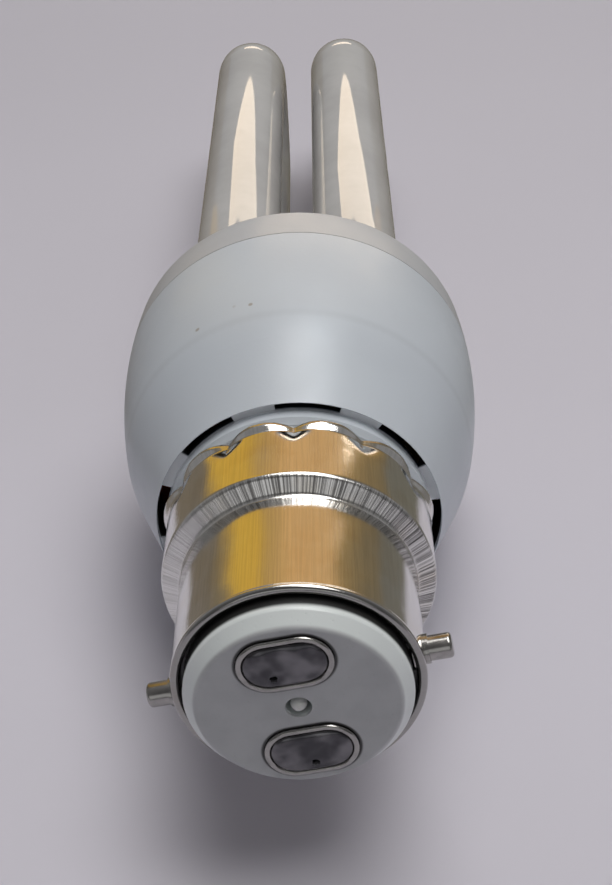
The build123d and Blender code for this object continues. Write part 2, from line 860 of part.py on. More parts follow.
def make_rectifier_diodes():
    """Four diodes stood on end, with one lead folded back to the board."""
    far = under_board - diode_len
    over = far - diode_fold_rise
    body = rod(0, 0, diode_r, far, under_board)
    stem = rod(0, 0, lead_r, under_board - overrun, board_top)
    fold = wire(
        lead_r,
        lead_bend_r,
        (0, 0, far + lead_r),
        (0, 0, over),
        (-diode_fold, 0, over),
        (-diode_fold, 0, board_top),
    )
    diode = body + stem + fold
    return group(*[Rot(0, 0, angle) * Pos(diode_ring(), 0, 0) * diode for angle in diode_angles()])


def lying_component(r, length):
    """Cylinder that lies under the board on two bent leads."""
    height = under_board - r
    body = Pos(0, 0, height) * Rot(0, 90, 0) * Cylinder(r, length)
    foot = lying_pitch(length) / 2
    parts = []
    for side in (-1, 1):
        start = (side * (length / 2 - lead_r), 0, height)
        parts.append(wire(lead_r, lead_bend_r, start, (side * foot, 0, height), (side * foot, 0, board_top)))
    return body + parts


def make_resistors():
    """Three small resistors."""
    piece = lying_component(resistor_r, resistor_len)
    return group(*[Pos(x, y, 0) * Rot(0, 0, turn) * piece for x, y, turn in resistors])


def make_trigger_diode():
    """Glass trigger diode."""
    x, y, turn = trigger_place
    return Pos(x, y, 0) * Rot(0, 0, turn) * lying_component(trigger_r, trigger_len)


def make_wire_posts():
    """Four square posts that the tube wires are led to."""
    low = board_top - post_sink + fit
    high = board_top + post_len
    return group(*[block(x, y, post_size, post_size, low, high) for x, y in post_places()])


def make_filament_wires():
    """Four bare wires from the pinched ends of the tubes down and across to their posts."""
    pieces = []
    start = tube_base - pinch_len
    low = start - filament_drop
    for x, row in post_places():
        end = (x, row + post_size / 2, low)
        pieces.append(wire(filament_r, filament_bend_r, (x, -leg_offset, start), (x, -leg_offset, low), end))
    return group(*pieces)


def make_fuse_resistor():
    """Fusible resistor in line with one supply wire."""
    x, y = contact_places()[1]
    body = rod(x, y, fuse_r, fuse_height, fuse_height + fuse_len)
    return fillet(body.edges().filter_by(GeomType.CIRCLE), fuse_round)


def make_supply_wires():
    """Insulated wires from the contact cups to the board, one of them through the fuse."""
    (ax, ay), (bx, by) = contact_places()
    first = wire(
        supply_r,
        supply_bend_r,
        (ax, ay, contact_inner),
        (ax, ay, neck_height + supply_bend_low),
        (*supply_a_board, neck_height + supply_bend_high),
        (*supply_a_board, board_top),
    )
    fuse_end = fuse_height + fuse_len
    second = wire(
        supply_r,
        supply_bend_r,
        (bx, by, fuse_end),
        (bx, by, neck_height + supply_bend_low),
        (*supply_b_board, neck_height + supply_bend_high),
        (*supply_b_board, board_top),
    )
    return group(first, second, rod(bx, by, supply_r, contact_inner, fuse_height))


def resting_tilt():
    """Angle of the lamp's axis to the ground when it lies on its crown and its tube bends."""
    run = bend_height - crown_height
    rise = -crown_axis_r
    drop = crown_curve_r - (leg_offset + tube_r)
    return math.degrees(math.atan2(run, rise) - math.acos(drop / math.hypot(run, rise)))


makers = {
    "cap_shell": make_cap_shell,
    "bayonet_pins": make_bayonet_pins,
    "base_insulator": make_base_insulator,
    "contact_plates": make_contact_plates,
    "contact_solder": make_contact_solder,
    "sealing_bead": make_sealing_bead,
    "lower_housing": make_lower_housing,
    "tube_holder": make_tube_holder,
    "discharge_tube": make_discharge_tube,
    "tube_cement": make_tube_cement,
    "circuit_board": make_circuit_board,
    "solder_joints": make_solder_joints,
    "choke_core": make_choke_core,
    "choke_bobbin": make_choke_bobbin,
    "choke_winding": make_choke_winding,
    "reservoir_capacitor": make_reservoir_capacitor,
    "transformer_ring": make_transformer_ring,
    "transformer_coils": make_transformer_coils,
    "film_capacitors": make_film_capacitors,
    "transistors": make_transistors,
    "rectifier_diodes": make_rectifier_diodes,
    "resistors": make_resistors,
    "trigger_diode": make_trigger_diode,
    "wire_posts": make_wire_posts,
    "filament_wires": make_filament_wires,
    "fuse_resistor": make_fuse_resistor,
    "supply_wires": make_supply_wires,
}

pieces = {name: make() for name, make in makers.items()}

# The lamp is laid down with its cap towards -Y, then set on the ground with its box centred
tilt = resting_tilt()
laid = {name: Rot(-90 - tilt, 0, 0) * piece for name, piece in pieces.items()}
boxes = [piece.bounding_box() for piece in laid.values()]
low_x = min(box.min.X for box in boxes)
high_x = max(box.max.X for box in boxes)
low_y = min(box.min.Y for box in boxes)
high_y = max(box.max.Y for box in boxes)
low_z = min(box.min.Z for box in boxes)
placed = Pos(-(low_x + high_x) / 2, -(low_y + high_y) / 2, -low_z)

os.makedirs("parts", exist_ok=True)
for name, piece in laid.items():
    export_step(placed * piece, f"parts/{name}.step")

print(f"tilt {tilt:.4f} degrees")
print(f"rim centre at y {-(low_y + high_y) / 2:.4f}, z {-low_z:.4f}")
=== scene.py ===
"""Looks of a compact fluorescent stick bulb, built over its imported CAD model."""

import math

import bmesh
import bpy
import numpy as np
from mathutils import Matrix, Vector


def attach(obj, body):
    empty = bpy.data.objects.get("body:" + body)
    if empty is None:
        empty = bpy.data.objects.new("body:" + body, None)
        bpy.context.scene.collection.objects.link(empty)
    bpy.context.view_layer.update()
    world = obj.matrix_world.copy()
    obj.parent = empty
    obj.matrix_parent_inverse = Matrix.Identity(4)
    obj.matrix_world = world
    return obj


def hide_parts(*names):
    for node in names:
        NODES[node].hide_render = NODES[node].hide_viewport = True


bl_info = {
    "name": "Compact Fluorescent Stick Bulb",
    "version": (1, 0, 0),
    "blender": (4, 5, 0),
    "location": "View3D > Sidebar > Lamp",
    "description": "Finishes and detail pieces of a two-bend stick bulb with a bayonet cap",
    "category": "Object",
}

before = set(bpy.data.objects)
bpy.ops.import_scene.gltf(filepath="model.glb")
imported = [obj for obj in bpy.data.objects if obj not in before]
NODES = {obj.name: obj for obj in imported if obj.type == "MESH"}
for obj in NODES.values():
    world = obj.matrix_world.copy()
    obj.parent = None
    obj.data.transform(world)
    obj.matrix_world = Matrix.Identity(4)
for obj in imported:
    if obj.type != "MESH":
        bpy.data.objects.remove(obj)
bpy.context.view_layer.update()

# The lamp's own frame: z runs along its axis from the cap's rim to the tube tips, in mm.
TILT = math.radians(4.9195)
RIM = np.array([0.0, -64.6746, 23.1895])
TURN = np.array([
    [1.0, 0.0, 0.0],
    [0.0, -math.sin(TILT), math.cos(TILT)],
    [0.0, -math.cos(TILT), -math.sin(TILT)],
])
MM = 0.001


def laid_down(points):
    """Lamp points in mm to the row frame in metres: turned onto the bench, moved to the rim."""
    return (np.asarray(points, float) @ TURN.T + RIM) * MM


def grid_mesh(name, points, wrap_rows, wrap_columns):
    """Quads over a grid of lamp points. Rows or columns that wrap are joined end to end; points
    that fall together, as at a pole, are merged later, by shown."""
    rows, columns = points.shape[:2]
    index = np.arange(rows * columns).reshape(rows, columns)
    if wrap_rows:
        index = np.vstack((index, index[:1]))
    if wrap_columns:
        index = np.hstack((index, index[:, :1]))
    quads = np.stack((index[:-1, :-1], index[1:, :-1], index[1:, 1:], index[:-1, 1:]), axis=-1)
    mesh = bpy.data.meshes.new(name)
    mesh.from_pydata(laid_down(points.reshape(-1, 3)), [], quads.reshape(-1, 4))
    return mesh


def shown(name, meshes, material, sharp=40.0):
    """One object from meshes: joined, merged, faces outwards, smooth but for its sharp edges."""
    joined = bmesh.new()
    for mesh in meshes:
        joined.from_mesh(mesh)
        bpy.data.meshes.remove(mesh)
    bmesh.ops.remove_doubles(joined, verts=joined.verts, dist=0.002 * MM)
    bmesh.ops.recalc_face_normals(joined, faces=joined.faces)
    mesh = bpy.data.meshes.new(name)
    joined.to_mesh(mesh)
    joined.free()
    mesh.shade_smooth()
    mesh.set_sharp_from_angle(angle=math.radians(sharp))
    mesh.materials.append(material)
    piece = bpy.data.objects.new(name, mesh)
    bpy.context.scene.collection.objects.link(piece)
    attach(piece, "root")
    return piece


def softened(corners, radii, steps=8):
    """Outline through corners, each rounded by an arc of its radius that touches both sides."""
    corners = np.asarray(corners, float)
    line = [corners[:1]]
    for before, corner, after, radius in zip(corners, corners[1:], corners[2:], radii):
        back = (before - corner) / np.linalg.norm(before - corner)
        ahead = (after - corner) / np.linalg.norm(after - corner)
        half = math.acos(np.clip(back @ ahead, -1.0, 1.0)) / 2
        reach = radius / math.tan(half)
        middle = corner + (back + ahead) / np.linalg.norm(back + ahead) * radius / math.sin(half)
        start, stop = corner + back * reach - middle, corner + ahead * reach - middle
        share = np.linspace(0.0, 1.0, steps)[:, None]
        spread = math.acos(np.clip(start @ stop / radius ** 2, -1.0, 1.0))
        arc = np.sin((1 - share) * spread) * start + np.sin(share * spread) * stop
        line.append(middle + arc / math.sin(spread))
    line.append(corners[-1:])
    return np.vstack(line)


def spaced(line, pitch):
    """The outline with points added so that none of its steps is longer than the pitch."""
    steps = np.linalg.norm(np.diff(line, axis=0), axis=1)
    along = np.concatenate(([0.0], np.cumsum(steps)))
    extra = np.linspace(0.0, along[-1], int(along[-1] / pitch) + 2)
    where = np.unique(np.round(np.concatenate((along, extra)), 4))
    return np.column_stack([np.interp(where, along, line[:, axis]) for axis in (0, 1)])


class Field:
    """A number that varies over a surface. Arithmetic on it adds Math nodes to its finish."""

    def __init__(self, finish, socket):
        self.finish = finish
        self.socket = socket

    def math(self, operation, *others):
        inputs = dict(enumerate((self, *others)))
        made = self.finish.node("ShaderNodeMath", {"operation": operation}, inputs)
        return Field(self.finish, made.outputs[0])

    def __add__(self, other):
        return self.math("ADD", other)

    def __radd__(self, other):
        return self.math("ADD", other)

    def __sub__(self, other):
        return self.math("SUBTRACT", other)

    def __rsub__(self, other):
        return self.math("MULTIPLY", -1.0).math("ADD", other)

    def __mul__(self, other):
        return self.math("MULTIPLY", other)

    def __rmul__(self, other):
        return self.math("MULTIPLY", other)

    def __truediv__(self, other):
        return self.math("DIVIDE", other)


class Finish:
    """One procedural material: a node tree that ends in a Principled shader."""

    def __init__(self, name, **sockets):
        self.material = bpy.data.materials.new(name)
        self.material.use_nodes = True
        self.tree = self.material.node_tree
        self.tree.nodes.clear()
        named = {key.replace("_", " "): value for key, value in sockets.items()}
        self.shader = self.node("ShaderNodeBsdfPrincipled", inputs=named)
        self.node("ShaderNodeOutputMaterial", inputs={"Surface": self.shader.outputs["BSDF"]})

    def node(self, kind, settings=None, inputs=None):
        """Any node: its settings first, a ramp's stops among them, then its sockets."""
        made = self.tree.nodes.new(kind)
        for key, value in (settings or {}).items():
            if key == "stops":
                ramp = made.color_ramp.elements
                while len(ramp) < len(value):
                    ramp.new(0.5)
                for element, (place, colour) in zip(ramp, value):
                    element.position = place
                    element.color = (*colour, 1.0)
            else:
                setattr(made, key, value)
        for key, value in (inputs or {}).items():
            self.feed(made.inputs[key], value)
        return made

    def feed(self, socket, value):
        """Links a socket or sets its constant."""
        value = value.socket if isinstance(value, Field) else value
        if isinstance(value, bpy.types.NodeSocket):
            self.tree.links.new(value, socket)
        elif socket.type == "RGBA":
            socket.default_value = (*value[:3], 1.0)
        else:
            socket.default_value = value

    def end(self, **sockets):
        """Feeds the Principled shader and hands over the material."""
        for key, value in sockets.items():
            self.feed(self.shader.inputs[key.replace("_", " ")], value)
        return self.material

    def lamp_point(self):
        """Object coordinates turned into the lamp's own frame, in mm."""
        coordinates = self.node("ShaderNodeTexCoord").outputs["Object"]
        place = tuple(-TURN.T @ RIM)
        settings = {"vector_type": "POINT"}
        inputs = {
            "Vector": coordinates,
            "Location": place,
            "Rotation": (math.pi / 2 + TILT, 0.0, 0.0),
            "Scale": (1 / MM, 1 / MM, 1 / MM),
        }
        return self.node("ShaderNodeMapping", settings, inputs).outputs["Vector"]

    def parts(self, vector):
        """The three numbers of a vector."""
        made = self.node("ShaderNodeSeparateXYZ", inputs={"Vector": vector})
        return [Field(self, socket) for socket in made.outputs]

    def shifted(self, vector, x, y, z):
        """The three numbers of a vector seen from another origin."""
        return [part - offset for part, offset in zip(self.parts(vector), (x, y, z))]

    def vector(self, x=0.0, y=0.0, z=0.0):
        """A vector made of three numbers."""
        return self.node("ShaderNodeCombineXYZ", inputs={"X": x, "Y": y, "Z": z}).outputs[0]

    def polar(self, vector):
        """Angle in radians, radius and height of a lamp point."""
        x, y, z = self.parts(vector)
        return y.math("ARCTAN2", x), (x * x + y * y).math("SQRT"), z

    def noise(self, vector, scale, detail=3.0, roughness=0.5):
        """Soft noise between 0 and 1."""
        inputs = {"Vector": vector, "Scale": scale, "Detail": detail, "Roughness": roughness}
        made = self.node("ShaderNodeTexNoise", {"noise_dimensions": "3D"}, inputs)
        return Field(self, made.outputs[0])

    def cells(self, vector, scale):
        """Distance to the nearest of scattered points."""
        inputs = {"Vector": vector, "Scale": scale}
        made = self.node("ShaderNodeTexVoronoi", {"feature": "F1"}, inputs)
        return Field(self, made.outputs["Distance"])

    def ease(self, value, low, high, start=0.0, stop=1.0):
        """Goes smoothly from start to stop while the value goes from low to high."""
        settings = {"interpolation_type": "SMOOTHSTEP", "clamp": True}
        inputs = {
            "Value": value,
            "From Min": low,
            "From Max": high,
            "To Min": start,
            "To Max": stop,
        }
        made = self.node("ShaderNodeMapRange", settings, inputs)
        return Field(self, made.outputs["Result"])

    def blend(self, mask, first, second):
        """One colour where the mask is 0, another where it is 1."""
        settings = {"data_type": "RGBA", "clamp_factor": True}
        made = self.node("ShaderNodeMix", settings)
        self.feed(made.inputs[0], mask)
        self.feed(made.inputs[6], first)
        self.feed(made.inputs[7], second)
        return made.outputs[2]

    def relief(self, height, depth, strength=1.0):
        """A bump of the given depth in mm, for the shader's Normal."""
        inputs = {"Height": height, "Distance": depth * MM, "Strength": strength}
        return self.node("ShaderNodeBump", inputs=inputs).outputs["Normal"]


# Places and sizes of the solids that finishes and skins follow, in mm in the lamp's frame.
# The cap: heights of the skirt's edge and of the shoulder's two ends, and its crimps.
SKIRT_END = 21.5
SHOULDER = (12.8, 13.3)
CRIMPS = 12
CRIMP_ROLL = math.radians(0.8)
# The plug: heights of its face, of the bevel, painted paler as painted light, and of the gap
# behind it, painted dark as painted shade.
PLUG_FACE = -2.44
PLUG_BEVEL = -2.15
PLUG_BACK_SHADE = (-1.0, -0.5)
# The housing's flare is a cone from its start. Under it lie the tabs, then the open slots.
FLARE_START = 22.9
FLARE_R = 14.0
FLARE_SLOPE = 0.394
SLOT_HEIGHTS = (23.1, 23.4, 23.8)
SPECKS = ((-3.9, -17.7, 35.1), (-9.3, -15.5, 34.5))
# The contact cups: two slots, turned a little, one each side of the axis.
CONTACT_LEN = 8.3
CONTACT_WIDTH = 5.5
CONTACT_ROLL = math.radians(-10)
CONTACT_OFFSET = 5.1
CONTACTS = [
    (reach * math.sin(CONTACT_ROLL), -reach * math.cos(CONTACT_ROLL))
    for reach in (CONTACT_OFFSET, -CONTACT_OFFSET)
]


def crimped(sizes, radius, height, angle):
    """Radius after crimping. Twelve creases deepen towards the skirt's edge: each is a sharp
    fold, a power of the distance from its middle, on a wide cosine hollow. Between creases
    the sheet bulges in a lobe, half sine and half straight."""
    crease_length = sizes.crease_length / MM
    phase = np.mod((angle - CRIMP_ROLL) * CRIMPS / (2 * math.pi) + 0.5, 1.0) - 0.5
    depth = np.clip((height - SKIRT_END + crease_length) / crease_length, 0.0, 1.1)
    crease = (1 - np.minimum(1.0, np.abs(phase) * 2.2 / (0.4 + 0.6 * depth))) ** 1.9
    lobe = np.sin(np.pi * np.minimum(1.0, np.abs(phase) * 2)) * 0.5 + 0.5 * np.abs(phase) * 2
    uneven = 1 + 0.18 * np.sin(3 * angle + 0.7) + 0.12 * np.sin(7 * angle + 2.1)
    wide = 0.5 + 0.5 * np.cos(2 * np.pi * phase)
    pressed = 0.68 * crease * uneven * depth ** 1.3 + 0.32 * wide * depth ** 1.6
    return radius + sizes.lobe_rise / MM * lobe * depth - sizes.crimp_depth / MM * pressed


def cap_shell_mesh(sizes):
    """Drawn shell: a closed outline of rolled rim, barrel, shoulder, skirt and flared lip is
    turned round the axis, wavers by slow sines of angle and height, and is then crimped.
    Inside and outside move together."""
    bead_r = sizes.rim_bead / MM
    bead = np.linspace(math.radians(30), math.radians(-225), 26)
    rim = np.column_stack((10.62 + bead_r * np.cos(bead), 0.42 + bead_r * np.sin(bead)))[::-1]
    # Radius and height in mm of the outline's corners, then the radius that rounds each.
    outer = softened(
        ((11.0, 0.72), (11.0, 12.6), (12.8, 13.4), (12.8, 20.35), (13.12, 20.95)),
        (0.6, 0.6, 0.5), 9)
    roll = np.radians(np.linspace(-20, 160, 12))
    lip = np.column_stack((12.93 + 0.24 * np.cos(roll), 21.22 + 0.28 * np.sin(roll)))
    inner = softened(
        ((12.66, 21.2), (12.45, 20.5), (12.45, 13.59), (10.65, 12.79), (10.65, 1.2)),
        (0.8, 0.25, 0.95), 9)
    line = spaced(np.vstack((rim, outer, lip, inner[1:])), 0.35)
    angle = CRIMP_ROLL + np.linspace(0.0, 2 * math.pi, 35 * CRIMPS, endpoint=False)[:, None]
    height = np.broadcast_to(line[:, 1], (len(angle), len(line)))
    waver = 0.02 * np.sin(5 * angle + height * 0.4) + 0.012 * np.sin(11 * angle - height * 0.7)
    radius = crimped(sizes, line[:, 0] + waver * np.clip(height / 3, 0, 1), height, angle)
    points = np.stack((radius * np.cos(angle), radius * np.sin(angle), height), axis=-1)
    return grid_mesh("cap_shell_skin", points, True, True)


def solder_mesh(sizes, name, middle, seed):
    """Pool of solder in a contact cup: rings of a slot outline drawn in to its centre. The
    front falls at the rim as a power of the share of the way out, carries slow ripples, which
    are products of sines, and has a bell-shaped pit. Flat rings close the back."""
    length, width, front, thick = 7.16, 4.36, -2.66, 2.2
    turn = np.linspace(0.0, 2 * math.pi, 120, endpoint=False)[:, None]
    share = 1 - np.linspace(0.0, 1.0, 36)[None, :] ** 2
    straight = (length - width) / 2
    x = straight * np.tanh(4 * np.cos(turn)) * share + width / 2 * np.cos(turn) * share
    y = width / 2 * np.sin(turn) * share
    swell = 0.40 * (1 - share ** 6) ** 0.6
    ripple = 0.07 * np.sin(1.9 * x + seed) * np.cos(1.6 * y - seed)
    ripple = ripple + 0.05 * np.sin(3.1 * y + 2 * x)
    pit_x, pit_y = ((-1.2, 1.1), (0.1, 1.2))[seed]
    pit = sizes.pit_depth / MM * np.exp(-((x - pit_x) ** 2 + (y - pit_y) ** 2) / 0.05)
    z = front - swell + ripple * (1 - share ** 4) + pit
    c, s = math.cos(CONTACT_ROLL), math.sin(CONTACT_ROLL)
    top = np.stack((middle[0] + c * x - s * y, middle[1] + s * x + c * y, z), axis=-1)
    back = top[:, :1] + np.array([0.0, 0.0, thick])
    inwards = (np.array([*middle, 0.0]) - back) * np.array([1.0, 1.0, 0.0])
    points = np.concatenate((back + inwards * np.linspace(1, 0, 4)[None, :, None], top), axis=1)
    return grid_mesh(name, points, True, False)


def plated_metal(looks):
    """Bright plated sheet: drawing streaks along the axis, deepest on the shoulder, faint
    smears of tarnish and fine dents. The tarnish is warmed, partly a painted gold reflection.
    On the shoulder the lines are strengthened as painted shade, less on its left side, and
    the rim bead is painted dark as painted shade."""
    made = Finish("plated_metal", Metallic=1.0)
    point = made.lamp_point()
    x, y, height = made.parts(point)
    radius = (x * x + y * y).math("SQRT")
    round_x, round_y = x / radius, y / radius
    drawn = made.vector(round_x * 70.0, round_y * 70.0, height * 0.09)
    streaks = made.noise(drawn, 1.0, 5.0, 0.75)
    smears = made.noise(point, 0.22, 4.0, 0.6)
    fine = made.noise(point, 2.5, 3.0, 0.6)
    low, high = SHOULDER
    shoulder = made.ease(height, low - 0.45, low) * made.ease(height, high + 0.45, high)
    lines = made.ease(streaks, 0.40, 0.60)
    tarnish = made.ease(smears, 0.46, 0.70)
    # Warm tarnish in smears: partly real, partly a painted reflection of the gold the cap mirrors.
    colour = made.blend(tarnish * 0.55, looks.metal, looks.tarnish_and_painted_reflection)
    # On the shoulder the lines are strengthened as painted shade, less so on its left side.
    shoulder_painted_shade_side = made.ease(x, -9.0, -3.0, 0.3, 1.0)
    colour = made.blend(lines * (0.13 + shoulder * shoulder_painted_shade_side * 0.87), colour, looks.line_and_painted_shade)
    # The rim bead is painted dark: painted shade.
    colour = made.blend(made.ease(height, 0.45, 0.1) * 0.7, colour, looks.line_and_painted_shade)
    rough = 0.06 + streaks * 0.09 + smears * 0.04 + shoulder * 0.14
    bump = streaks * (0.5 + shoulder * 1.5) + fine * 0.25
    return made.end(Base_Color=colour, Roughness=rough, Normal=made.relief(bump, 0.02, 0.6))


def pin_metal(looks):
    """Pin metal: greyer than the sheet, in soft clouds."""
    made = Finish("pin_metal", Metallic=1.0)
    point = made.lamp_point()
    grain = made.noise(point, 1.2, 3.0, 0.5)
    colour = made.blend(grain * 0.7, looks.pin_dark, looks.metal_grey)
    return made.end(Base_Color=colour, Roughness=0.16 + grain * 0.12,
                    Normal=made.relief(grain, 0.006, 0.2))


def contact_edge(made, point):
    """Distance in mm from the nearer contact's slot outline, below 0 inside it: the point is
    moved and turned to each contact, then measured to the slot's middle line."""
    x, y, _ = made.parts(point)
    c, s = math.cos(CONTACT_ROLL), math.sin(CONTACT_ROLL)
    away = []
    for middle_x, middle_y in CONTACTS:
        across, up = x - middle_x, y - middle_y
        along = (across * c + up * s).math("ABSOLUTE") - (CONTACT_LEN - CONTACT_WIDTH) / 2
        along = along.math("MAXIMUM", 0.0)
        square = up * c - across * s
        away.append((along * along + square * square).math("SQRT") - CONTACT_WIDTH / 2)
    return away[0].math("MINIMUM", away[1])


def insulator_finish(looks):
    """Pale moulded plug: soft clouds, small pores, faint flow marks and a bevel painted paler
    as painted light. The gap behind the bevel and the lines round the contacts are painted
    dark as painted shade."""
    made = Finish("insulator_finish", Coat_Weight=0.35, Coat_Roughness=0.12)
    point = made.lamp_point()
    angle, radius, height = made.polar(point)
    clouds = made.noise(point, 0.35, 4.0, 0.55)
    pores = made.cells(point, 1.6)
    flow = made.noise(made.vector(angle * 4.0, radius * 0.9, height), 1.0, 3.0, 0.6)
    colour = made.blend(made.ease(clouds, 0.35, 0.75), looks.insulator, looks.insulator_dull)
    # The bevel is painted paler: painted light.
    colour = made.blend(made.ease(height, PLUG_FACE, PLUG_BEVEL), colour, looks.bevel)
    colour = made.blend(made.ease(pores, 0.10, 0.03) * 0.35, colour, looks.insulator_pore)
    # Painted shade in the gap behind the plug's bevel.
    colour = made.blend(made.ease(height, *PLUG_BACK_SHADE), colour, looks.recess_painted_shade)
    # Painted shadow in a line round each contact cup.
    outline = made.ease(contact_edge(made, point), 0.36, 0.14)
    colour = made.blend(outline, colour, looks.recess_painted_shade)
    bump = flow * 0.4 + made.ease(pores, 0.05, 0.3) * 0.3
    return made.end(Base_Color=colour, Roughness=0.3 + clouds * 0.2,
                    Normal=made.relief(bump, 0.05, 0.4))


def contact_finish(looks):
    """Tinned contact cup: two greys on slow ripples."""
    made = Finish("contact_finish", Metallic=1.0)
    point = made.lamp_point()
    ripple = made.noise(point, 1.2, 3.0, 0.6)
    colour = made.blend(ripple * 0.6, looks.pin_dark, looks.metal_grey)
    return made.end(Base_Color=colour, Roughness=0.14 + ripple * 0.12,
                    Normal=made.relief(ripple, 0.05, 0.5))


def solder_finish(looks):
    """Solder in two tones in soft clouds with a fine grain, the darker in the hollows of its
    relief. Both tones are painted dark grey as a painted reflection of the shaded floor it
    mirrors.
    """
    made = Finish("solder_finish", Metallic=0.9)
    point = made.lamp_point()
    skin = made.noise(point, 0.45, 2.0, 0.45)
    fine = made.noise(point, 6.0, 3.0, 0.6)
    # Both tones are painted dark: a painted reflection.
    colour = made.blend(made.ease(skin, 0.35, 0.7), looks.solder_hollows_painted_dark, looks.solder)
    bump = skin * 0.6 + fine * 0.08
    return made.end(Base_Color=colour, Roughness=0.16 + fine * 0.12,
                    Normal=made.relief(bump, 0.07, 0.5))


def clear_resin(looks):
    """Clear drop of resin, slightly milky."""
    made = Finish("clear_resin", Transmission_Weight=0.25, IOR=1.5)
    point = made.lamp_point()
    haze = made.noise(point, 1.5, 3.0, 0.5)
    milky = (0.98, 0.98, 0.96)
    colour = made.blend(haze, looks.resin, milky)
    return made.end(Base_Color=colour, Roughness=0.05 + haze * 0.1)


def moulded_plastic(name, looks, colour, shade):
    """Satin moulded plastic: spark-eroded grain, faint clouds, rubbed patches and dust specks.
    Under the flare the slots are painted dark inside as painted shade, and the tabs between
    them painted pale as painted light."""
    made = Finish(name, Specular_IOR_Level=0.5)
    point = made.lamp_point()
    grain = made.noise(point, 3.2, 3.0, 0.6)
    clouds = made.noise(point, 0.07, 3.0, 0.5)
    rubs = made.noise(point, 0.35, 4.0, 0.65)
    dust = made.ease(made.cells(point, 0.16), 0.055, 0.02)
    tone = made.blend(made.ease(clouds, 0.3, 0.7), colour, shade)
    tone = made.blend(dust * 0.5, tone, looks.dust)
    _, radius, height = made.polar(point)
    under = FLARE_R + (height - FLARE_START) * FLARE_SLOPE - radius
    tab_low, tab_high, slot_low = SLOT_HEIGHTS
    # Painted shade inside the open slots, fading out between 30 and 34 mm up.
    inside = made.ease(under, 0.15, 0.35) * made.ease(height, slot_low - 0.2, slot_low)
    inside = inside * made.ease(height, 34, 30)
    tone = made.blend(inside, tone, looks.recess_painted_shade)
    # Painted light: the tabs in the shallow groove painted pale where the groove shades them.
    tab_painted_light = made.ease(under, 0.0, 0.1) * made.ease(height, tab_low, tab_high)
    tab_painted_light = tab_painted_light * made.ease(height, tab_high + 0.15, tab_high + 0.12)
    tone = made.blend(tab_painted_light, tone, looks.tab_painted_light)
    for speck in SPECKS:
        x, y, z = made.shifted(point, *speck)
        away = (x * x + y * y * 0.3 + z * z).math("SQRT")
        tone = made.blend(made.ease(away, 0.3, 0.12), tone, looks.dust)
    rough = 0.30 + made.ease(rubs, 0.4, 0.75) * 0.1 + grain * 0.06
    return made.end(Base_Color=tone, Roughness=rough, Normal=made.relief(grain, 0.03, 0.35))


def coated_glass(looks):
    """Clear glass over a white powder coat: glossy skin, thin cloudy coat, faint waves."""
    made = Finish("coated_glass", Coat_Weight=1.0, Coat_Roughness=0.03, Roughness=0.6,
                  Specular_IOR_Level=0.0)
    point = made.lamp_point()
    cloud = made.noise(point, 0.12, 4.0, 0.6)
    wave = made.noise(point, 0.09, 2.0, 0.5)
    colour = made.blend(made.ease(cloud, 0.3, 0.75), looks.coat, looks.coat_thin)
    return made.end(Base_Color=colour, Normal=made.relief(wave, 0.06, 0.3))


def plain_finish(name, colour, second, metallic, rough, scale, depth):
    """A finish for the inner parts: two tones in soft noise with a matching relief, whose
    scale is in waves per mm and whose depth is in mm."""
    made = Finish(name, Metallic=metallic)
    point = made.lamp_point()
    grain = made.noise(point, scale, 4.0, 0.6)
    tone = made.blend(made.ease(grain, 0.35, 0.7), colour, second)
    return made.end(Base_Color=tone, Roughness=rough + grain * 0.15,
                    Normal=made.relief(grain, depth, 0.5))


def dress(node, material):
    """Gives a CAD node its finish and leaves its mesh alone."""
    piece = NODES[node]
    piece.data.materials.clear()
    piece.data.materials.append(material)
    return piece


class LampSizes(bpy.types.PropertyGroup):
    """Sizes of the detail that the skins add."""

    crimp_depth: bpy.props.FloatProperty(
        name="Crimp Depth", description="How far each crease is pressed in at the skirt's edge",
        unit="LENGTH", precision=5, default=0.85 * MM)
    crease_length: bpy.props.FloatProperty(
        name="Crease Length", description="How far the creases run from the skirt's edge",
        unit="LENGTH", precision=5, default=3.2 * MM)
    lobe_rise: bpy.props.FloatProperty(
        name="Lobe Rise", description="How far the sheet bulges between two creases",
        unit="LENGTH", precision=5, default=0.12 * MM)
    rim_bead: bpy.props.FloatProperty(
        name="Rim Bead", description="Radius of the rolled bead on the cap's rim",
        unit="LENGTH", precision=5, default=0.45 * MM)
    pit_depth: bpy.props.FloatProperty(
        name="Pit Depth", description="Depth of the pit in each pool of solder",
        unit="LENGTH", precision=5, default=0.6 * MM)


